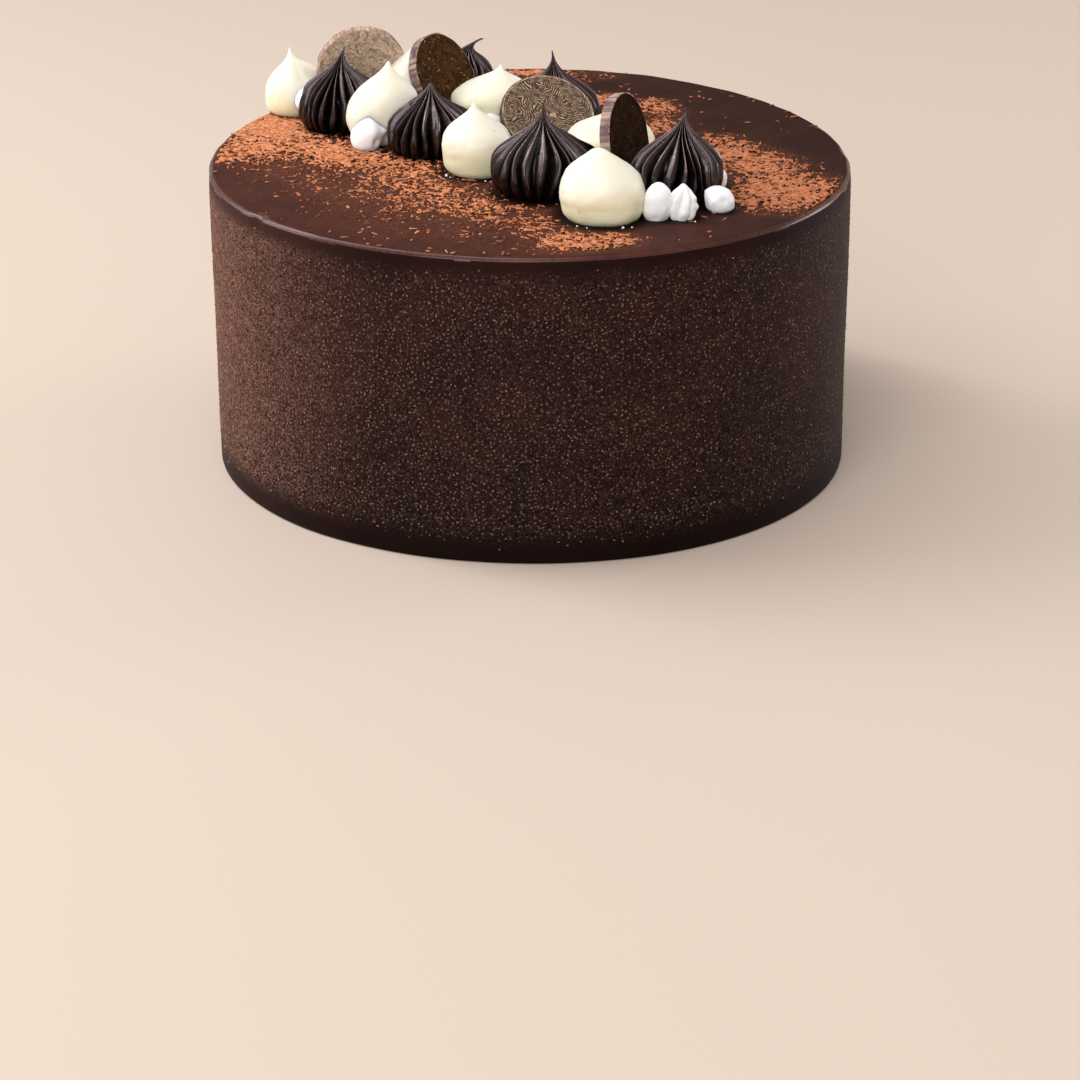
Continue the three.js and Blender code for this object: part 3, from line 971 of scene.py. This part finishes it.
# %% [markdown]
# ## Ganache kisses
# Nearly black and glossy, so what shows is the light on the ridges. Low down their crests are round and
# the valleys sharp. Higher up the ridges are drawn out thin, and a thin pale painted highlight runs along
# their crests, which an attribute on the mesh tells the material. The ridges sway a little, and no two
# are equally deep.

# %% Material of the ganache
ganache_material, tree, shader = plain_material(
    "piped dark ganache", Specular_IOR_Level=0.75, Specular_Tint=paint(255, 236, 240),
)
place = tree_place(tree)
streak = remap(tree, noise(tree, place, 3, detail=4, roughness=0.6), 0.35, 0.65)
dark = blend(tree, streak, paint(9, 4, 4), paint(18, 10, 10))
# painted highlight along the crests
painted_crest_highlight = remap(tree, stored(tree, "crest"), 0.35, 1, 0, 0.85)
feed(tree, shader.inputs["Base Color"], blend(tree, painted_crest_highlight, dark, paint(134, 106, 104)))
feed(tree, shader.inputs["Roughness"], remap(tree, streak, 0, 1, 0.19, 0.32))
roughen(tree, shader, noise(tree, place, 0.9, detail=3), 0.35, 0.15)
print("ganache is glossy, with duller streaks")

# %% Ganache kisses
GANACHE_KISSES = [
    dict(
        at=(-61.5, 32.2), width=25.4, height=26.3, lean=(2.4, 0.4), slim=1.3, bulge=0.05, curl=1.1,
        lumps=[(0, 0.5, 2.2, 3.5), (180, 0.52, 0.8, 3)],
    ),
    dict(
        at=(-32.2, 4.4), width=26.2, height=22.1, lean=(1.8, 0.4), slim=0.97, tip=0.3, bulge=0.06, facing=20,
        lumps=[(5, 0.52, 3, 4), (190, 0.76, 1.5, 1.4), (175, 0.5, 0.6, 3)],
    ),
    dict(
        at=(2.7, -37), width=30.2, height=27.4, lean=(1.4, 0.2), slim=1.42, bulge=0.03, facing=25,
        lumps=[(6, 0.46, 2.2, 3.6), (180, 0.5, 0.6, 4)],
    ),
    dict(
        at=(43, -43.2), width=27.4, height=26.3, lean=(2, 0.4), slim=1.2, curl=0.9, tip=0.28,
        lumps=[(195, 0.42, 0.9, 4), (0, 0.62, 0.5, 2.5)],
    ),
    dict(at=(-21.6, 76), width=19, height=17.2, lean=(0.8, 0), slim=1.1, curl=5.8, tip=0.9),
    dict(at=(7, 24.5), width=29.2, height=26.8, lean=(0.9, 0), slim=1.5, tip=0.8, bulge=0.03, curl=-0.9),
]
pipe_all(GANACHE_KISSES, "ganache", "ganache_kiss", "ganache", ganache_material, 40, kind=GANACHE)

# %% [markdown]
# ## Tiny meringues
# Dry, matt and cool white. They are piped like the kisses, only small, and one comes from a star nozzle.

# %% Material of the meringues
meringue_material, tree, shader = plain_material(
    "dry white meringue", Roughness=0.8, Specular_IOR_Level=0.2, Subsurface_Weight=0.35,
    Subsurface_Radius=(1.0, 0.94, 0.9), Subsurface_Scale=1.0 * MM,
)
place = tree_place(tree)
chalk = remap(tree, noise(tree, place, 1.5, detail=4), 0.3, 0.7)
feed(tree, shader.inputs["Base Color"], blend(tree, chalk, paint(251, 251, 254), paint(254, 254, 255)))
roughen(tree, shader, chalk, 0.3, 0.12)
print("meringue is matt")

# %% Meringues
MERINGUES = [
    dict(
        at=(-50.9, 9.2), width=9.8, height=10.2, lean=(1.2, 0),
        lumps=[(-5, 0.55, 1.5, 1.6), (-50, 0.28, -0.9, 1.5), (-60, 0.6, 0.5, 2), (165, 0.5, 0.5, 2.5)],
    ),
    dict(
        at=(36.6, -63.2), width=8.6, height=10.6, lean=(0.5, 0.6), slim=0.6,
        lumps=[(-120, 0.7, 0.4, 1.5), (-60, 0.3, 0.3, 1.5), (-95, 0.12, -0.4, 1)],
    ),
    dict(
        kind=STAR_MERINGUE, at=(43.9, -63.4), width=8.4, height=10.6, lean=(0.3, 0),
        lumps=[(0, 0.35, 0.8, 1.2), (-20, 0.62, 0.7, 1), (200, 0.75, 0.9, 1)],
    ),
    dict(
        kind=EGG_MERINGUE, at=(55.5, -55.8), width=9, height=7.2, lean=(-1.3, 0.4),
        lumps=[(-70, 0.55, -0.5, 1), (-30, 0.5, 0.4, 1.5), (-110, 0.45, 0.35, 1.2), (190, 0.86, 0.6, 0.8)],
    ),
    dict(at=(-71.2, 41.2), width=7.8, height=7.4, rise=3.4),
    dict(at=(-12.4, 31), width=8, height=4.6),
    dict(at=(54.4, -35.5), width=7, height=6.6, lean=(2.2, 0)),
]
pipe_all(
    MERINGUES, "meringue", "mini_meringue", "meringue", meringue_material, 60, kind=MERINGUE, uneven=0.18,
)

# %% [markdown]
# A few white crumbs broke off and lie at the feet of the kisses in front.

# %% White crumbs
# x, y, height above the top, size (mm)
WHITE_CRUMBS = [
    (-25.4, -21.5, 0.2, 0.8), (-24.2, -23.0, 0.1, 0.4), (-13.5, -26.8, 0.1, 0.5), (13.4, -71.0, 0.1, 0.5),
    (16.2, -72.6, 0.1, 0.35), (26.6, -73.0, 0.2, 0.7), (29.2, -72.2, 0.1, 0.5), (47.6, -67.4, 0.1, 0.45),
]


def crumb_points():
    """One point for each crumb, with its size on it."""
    mesh = bpy.data.meshes.new("crumb spots")
    spots = np.array(WHITE_CRUMBS)
    mesh.from_pydata(((spots[:, :3] + [*AXIS, TOP - 0.1]) * MM).tolist(), [], [])
    store(mesh, "size", spots[:, 3])
    return mesh


tree, given = geometry_tree("white crumbs", "Crumb")
ball = add(tree, "GeometryNodeMeshIcoSphere", Radius=out(given, "Crumb"), Subdivisions=2)
place = add(tree, "GeometryNodeInputPosition")
squeeze = remap(tree, noise(tree, place, 0.8, detail=1), 0.3, 0.7, 0.6, 1.4)
dented = vectors(tree, "MULTIPLY", place, squeeze)
lump = add(tree, "GeometryNodeSetPosition", Geometry=out(ball, "Mesh"), Position=dented)
spots = add(tree, "GeometryNodeMeshToPoints", Mesh=out(given, "Geometry"))
crumbs_there = add(
    tree, "GeometryNodeInstanceOnPoints", Points=spots, Instance=lump,
    Rotation=pick(tree, (0, 0, 0), (3, 3, 6), 1), Scale=stored(tree, "size"),
)
finish_tree(tree, crumbs_there, meringue_material)
white_crumbs = show("white_crumbs", crumb_points())
grow(white_crumbs, tree, Crumb=0.5 * MM)

# %% [markdown]
# ## Chocolate coins
# Flat discs of dark chocolate, their faces dusted with gold: flecks on three of them, and a swirl like
# a fingerprint on the one that leans back in the middle. A pale, chipped line round each face stands for
# rubbed chips and for a painted highlight along the edge. Every coin keeps flat coordinates of its own in
# a UV map, so the patterns lie on its faces however it is turned, and the pale line is found by the
# distance from the map's middle.

# %% Shape of a coin
COIN_RADIUS = 14.5
COIN_THICKNESS = 3.2
COIN_ROUNDING = 0.35
COIN_AROUND = 160
COINS = [
    {"at": (-54, 51), "lift": 13.7, "turn": 11, "lean": -11, "gold": 1.0},
    {"at": (-27.9, 50), "lift": 10.9, "turn": 56, "lean": 26, "gold": 0.25},
    {"at": (5.4, 7.5), "lift": 10, "turn": 16, "lean": 51, "gold": 0.0, "wider": 0.4},
    {"at": (28.2, -29), "lift": 12.9, "turn": 66, "lean": 11.5, "gold": 0.06},
]


def coin_frame(coin):
    """The directions along a coin's face, up its face and out of its front, and its middle."""
    turn, lean = math.radians(coin["turn"]), math.radians(coin["lean"])
    across = np.array([math.cos(turn), math.sin(turn), 0])
    front = np.array([math.sin(turn) * math.cos(lean), -math.cos(turn) * math.cos(lean), math.sin(lean)])
    rise = np.cross(front, across)
    middle = np.array([coin["at"][0] + AXIS[0], coin["at"][1] + AXIS[1], TOP + coin["lift"]])
    return np.array([across, rise, front]), middle


def coin_rings(radius, seed):
    """Rings of a coin that lies flat, its back face first. Its faces and rim are slightly uneven."""
    half = COIN_THICKNESS / 2
    arc = np.radians(np.linspace(-90, 0, 4))
    corner = radius - COIN_ROUNDING
    face = np.linspace(1.2, corner - 0.4, 12)
    across = np.concatenate([face, corner + COIN_ROUNDING * np.cos(arc)])
    height = np.concatenate([np.full(len(face), -half), COIN_ROUNDING - half + COIN_ROUNDING * np.sin(arc)])
    across, height = np.concatenate([across, across[::-1]]), np.concatenate([height, -height[::-1]])
    rings = round_points(across[:, None], ring_angles(COIN_AROUND), height[:, None])
    rim = (across / radius)[:, None] ** 8
    rings[..., :2] *= (1 + 0.008 * rim * (ripple(rings, 6, seed) - 1))[..., None]
    rings[..., 2] += 0.05 * ripple(rings * [1, 1, 0], 7, seed + 1)
    return rings


def cut_below_top(piece):
    """Take off what is pushed into the coat."""
    work = bmesh.new()
    work.from_mesh(piece.data)
    plane = Vector((0, 0, (TOP - SINK) * MM))
    everything = [*work.verts, *work.edges, *work.faces]
    cut = bmesh.ops.bisect_plane(work, geom=everything, plane_co=plane, plane_no=(0, 0, 1), clear_inner=True)
    edges = [item for item in cut["geom_cut"] if isinstance(item, bmesh.types.BMEdge)]
    bmesh.ops.holes_fill(work, edges=edges)
    work.to_mesh(piece.data)
    work.free()


print("a coin is", 2 * COIN_RADIUS, "mm across and", COIN_THICKNESS, "mm thick")

# %% Materials of the coins
WHORL = 13  # how far apart the middles of the swirls lie (mm)
LINE_SPACING = 0.7
STIR_REACH = 6.5  # how far the lines are stirred out of round


def darker(colour, share):
    """A colour with a share of its light."""
    return (*(share * value for value in colour[:3]), 1.0)


def coin_material(name, face, rim, gold, share, swirl=False):
    """Chocolate with gold dust on its faces, in flecks or in a swirl."""
    material, tree, shader = plain_material(name, Specular_IOR_Level=0.0, Roughness=0.62)
    flat = out(add(tree, "ShaderNodeUVMap", uv_map="coin"))
    on_face = remap(tree, stored(tree, "face"), 0.5, 0.9)
    if swirl:
        stir = out(noise(tree, flat, 5.2, detail=1.4), "Color")
        stirred = vectors(tree, "MULTIPLY_ADD", stir, (STIR_REACH * MM,) * 3, flat)
        whorls = add(
            tree, "ShaderNodeTexVoronoi", Vector=stirred, Scale=1 / (WHORL * MM), voronoi_dimensions="2D",
        )
        turns = times(tree, out(whorls, "Distance"), 2 * math.pi * WHORL / LINE_SPACING)
        worn = remap(tree, noise(tree, flat, 1.6, detail=4, roughness=0.7), 0.38, 0.62, 0.08, 1)
        marks = times(tree, remap(tree, calculate(tree, "SINE", turns), 0, 0.8), worn)
    else:
        dust = noise(tree, flat, 1.1, detail=5, roughness=0.75, distortion=1.5)
        marks = remap(tree, dust, 0.6 - 0.06 * share, 0.7 - 0.06 * share)
    golden = times(tree, marks, remap(tree, on_face, 0, 1, 0.5 * share, 1))
    tone = remap(tree, noise(tree, flat, 2.2, detail=5, roughness=0.7, distortion=1.2), 0.4, 0.6)
    chocolate = blend(tree, tone, face, darker(face, 0.4))
    edge = blend(tree, tone, rim, darker(rim, 0.84))
    bare = blend(tree, on_face, edge, chocolate)
    reach = out(vectors(tree, "LENGTH", flat), "Value")
    # the pale line round each face: chips, and a painted highlight along the edge
    off_edge = apart(tree, reach, (COIN_RADIUS - 0.3) * MM)
    chipped_and_highlit = times(tree, remap(tree, off_edge, 0.12 * MM, 0.3 * MM, 0.9, 0), tone)
    worn_and_highlit_edge = blend(tree, chipped_and_highlit, bare, paint(206, 178, 160))
    feed(tree, shader.inputs["Base Color"], blend(tree, golden, worn_and_highlit_edge, gold))
    feed(tree, shader.inputs["Metallic"], times(tree, golden, 0.3))
    roughen(tree, shader, marks, 0.5, 0.12)
    return material


DARK_RIM = paint(112, 88, 90)
coin_finishes = [
    coin_material("gold dusted coin", paint(218, 188, 172), paint(150, 122, 108), paint(255, 232, 182), 1.0),
    coin_material("dark olive coin", paint(78, 54, 34), DARK_RIM, paint(132, 102, 56), 0.3),
    coin_material("swirled coin", paint(92, 71, 67), paint(84, 66, 60), paint(204, 180, 142), 0.6, True),
    coin_material("darkest coin", paint(54, 38, 27), DARK_RIM, paint(110, 86, 58), 0.0),
]
print("coin finishes:", len(coin_finishes))

# %% Coins
for i, coin in enumerate(COINS, 1):
    radius = COIN_RADIUS + coin.get("wider", 0)
    rings = coin_rings(radius, 80 + i)
    ends = rings[0].mean(0), rings[-1].mean(0)
    piece = ringed_piece(f"coin_{i}", rings, *ends, coin_finishes[i - 1])
    mesh = piece.data
    flat = places_in(mesh)
    corners = np.array([loop.vertex_index for loop in mesh.loops])
    mesh.uv_layers.new(name="coin").data.foreach_set("uv", flat[corners, :2].ravel())
    on_face = np.abs(flat[:, 2]) > (COIN_THICKNESS / 2 - 0.3) * MM
    near_rim = np.hypot(flat[:, 0], flat[:, 1]) > (radius - 0.35) * MM
    store(mesh, "face", (on_face & ~near_rim).astype(float))
    axes, middle = coin_frame(coin)
    mesh.vertices.foreach_set("co", (flat @ axes + middle * MM).ravel())
    mesh.update()
    cut_below_top(piece)
    toppings[f"chocolate_coin_{i}"] = (piece, "coin")
print("coins:", len(COINS))

# %% [markdown]
# Loose flecks of gold leaf lie on the faces as well, where they catch the light one by one. They are
# real slivers, spread by one tree over all the coins, as thickly as each coin's own share of gold. The
# swirled coin has none.

# %% Gold flecks
gold_material, tree, shader = plain_material(
    "gold leaf", Metallic=0.2, Roughness=0.55, Specular_IOR_Level=0.2,
)
gilded = blend(tree, stored(tree, "tone"), paint(90, 64, 34), paint(255, 230, 178))
feed(tree, shader.inputs["Base Color"], gilded)
print("gold leaf runs from dull to bright by each fleck's own tone")


def coin_faces():
    """The faces of all the coins as one mesh, with each coin's share of gold on its points."""
    points, faces, gold = [], [], []
    for i, coin in enumerate(COINS, 1):
        mesh = toppings[f"chocolate_coin_{i}"][0].data
        start = len(points)
        points += [vertex.co[:] for vertex in mesh.vertices]
        faces += [[start + k for k in face.vertices] for face in mesh.polygons]
        gold += [coin["gold"] * value.value for value in mesh.attributes["face"].data]
    mesh = bpy.data.meshes.new("coin faces")
    mesh.from_pydata(points, [], faces)
    store(mesh, "gold", gold)
    return mesh


tree, given = geometry_tree("gold flecks", "Fleck", "Density", "Spread seed")
share = stored(tree, "gold")
spread = add(
    tree, "GeometryNodeDistributePointsOnFaces", distribute_method="RANDOM", Mesh=out(given, "Geometry"),
    Density=times(tree, share, out(given, "Density")), Seed=out(given, "Spread seed"),
)
sliver = add(tree, "GeometryNodeMeshUVSphere", Segments=4, Rings=2, Radius=out(given, "Fleck"))
long = pick(tree, (0.3, 0.2, 0.09), (2.7, 0.75, 0.12), 2)
sparse = remap(tree, share, 0.05, 1, 0.36, 1, "LINEAR")
flecks = strew(
    tree, spread, out(sliver, "Mesh"), pick(tree, (0, 0, 0), ANY_SPIN, 3),
    times(tree, pick(tree, 0.4, 1.0, 4), sparse),
    Rotation=out(spread, "Rotation"), Scale=vectors(tree, "MULTIPLY", long, sparse),
)
finish_tree(tree, flecks, gold_material)
gold_flecks = show("gold_flecks", coin_faces())
grow(gold_flecks, tree, Fleck=0.5 * MM, Density=6e5, Spread_seed=9)

# %% [markdown]
# ## Pressed together
# The toppings touch. Where two meet, the softer one gives way: cream to ganache, ganache to the dry
# meringues, and all of them to the coins. A Boolean difference takes the firmer shape out of the softer
# one, and what a coin cuts off behind it is dropped.

# %% Pressing
FIRMEST_FIRST = ["coin", "meringue", "ganache", "cream"]
CREASE = math.radians(60)


def corners_of(piece):
    """The lowest and highest corner of a piece."""
    spots = places_in(piece.data)
    return spots.min(0), spots.max(0)


def largest_part(piece):
    """Drop everything but the part with the most faces."""
    work = bmesh.new()
    work.from_mesh(piece.data)
    waiting, parts = set(work.faces), []
    while waiting:
        part, border = set(), [next(iter(waiting))]
        while border:
            face = border.pop()
            if face in waiting:
                waiting.discard(face)
                part.add(face)
                border += [near for edge in face.edges for near in edge.link_faces if near in waiting]
        parts.append(part)
    parts.sort(key=len)
    bmesh.ops.delete(work, geom=[face for part in parts[:-1] for face in part], context="FACES")
    work.to_mesh(piece.data)
    work.free()


def press(piece, firmer):
    """Take firmer pieces' shapes out of a soft one."""
    for other in firmer:
        cut = piece.modifiers.new(other.name, "BOOLEAN")
        cut.operation = "DIFFERENCE"
        cut.solver = "EXACT"
        cut.object = other
    make_plain(piece)
    largest_part(piece)
    piece.data.set_sharp_from_angle(angle=CREASE)


settled = []
for soft in FIRMEST_FIRST:
    for piece, slot in toppings.values():
        if slot != soft:
            continue
        low, high = corners_of(piece)
        touching = [other for other, ends in settled if (low < ends[1]).all() and (high > ends[0]).all()]
        if touching:
            press(piece, touching)
            print(piece.name, "gives way to", ", ".join(other.name for other in touching))
        settled.append((piece, corners_of(piece)))

# %% [markdown]
# ## Hand over
# Every piece rides on the cake's only body and takes the place of its plain solid.

# %% Hand over
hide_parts("cake")
for piece in (coat, side_grain, crust, crumbs, gold_flecks, white_crumbs):
    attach(piece, "root")
for node, (piece, slot) in toppings.items():
    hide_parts(node)
    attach(piece, "root")
print("pieces:", len(toppings) + 6)
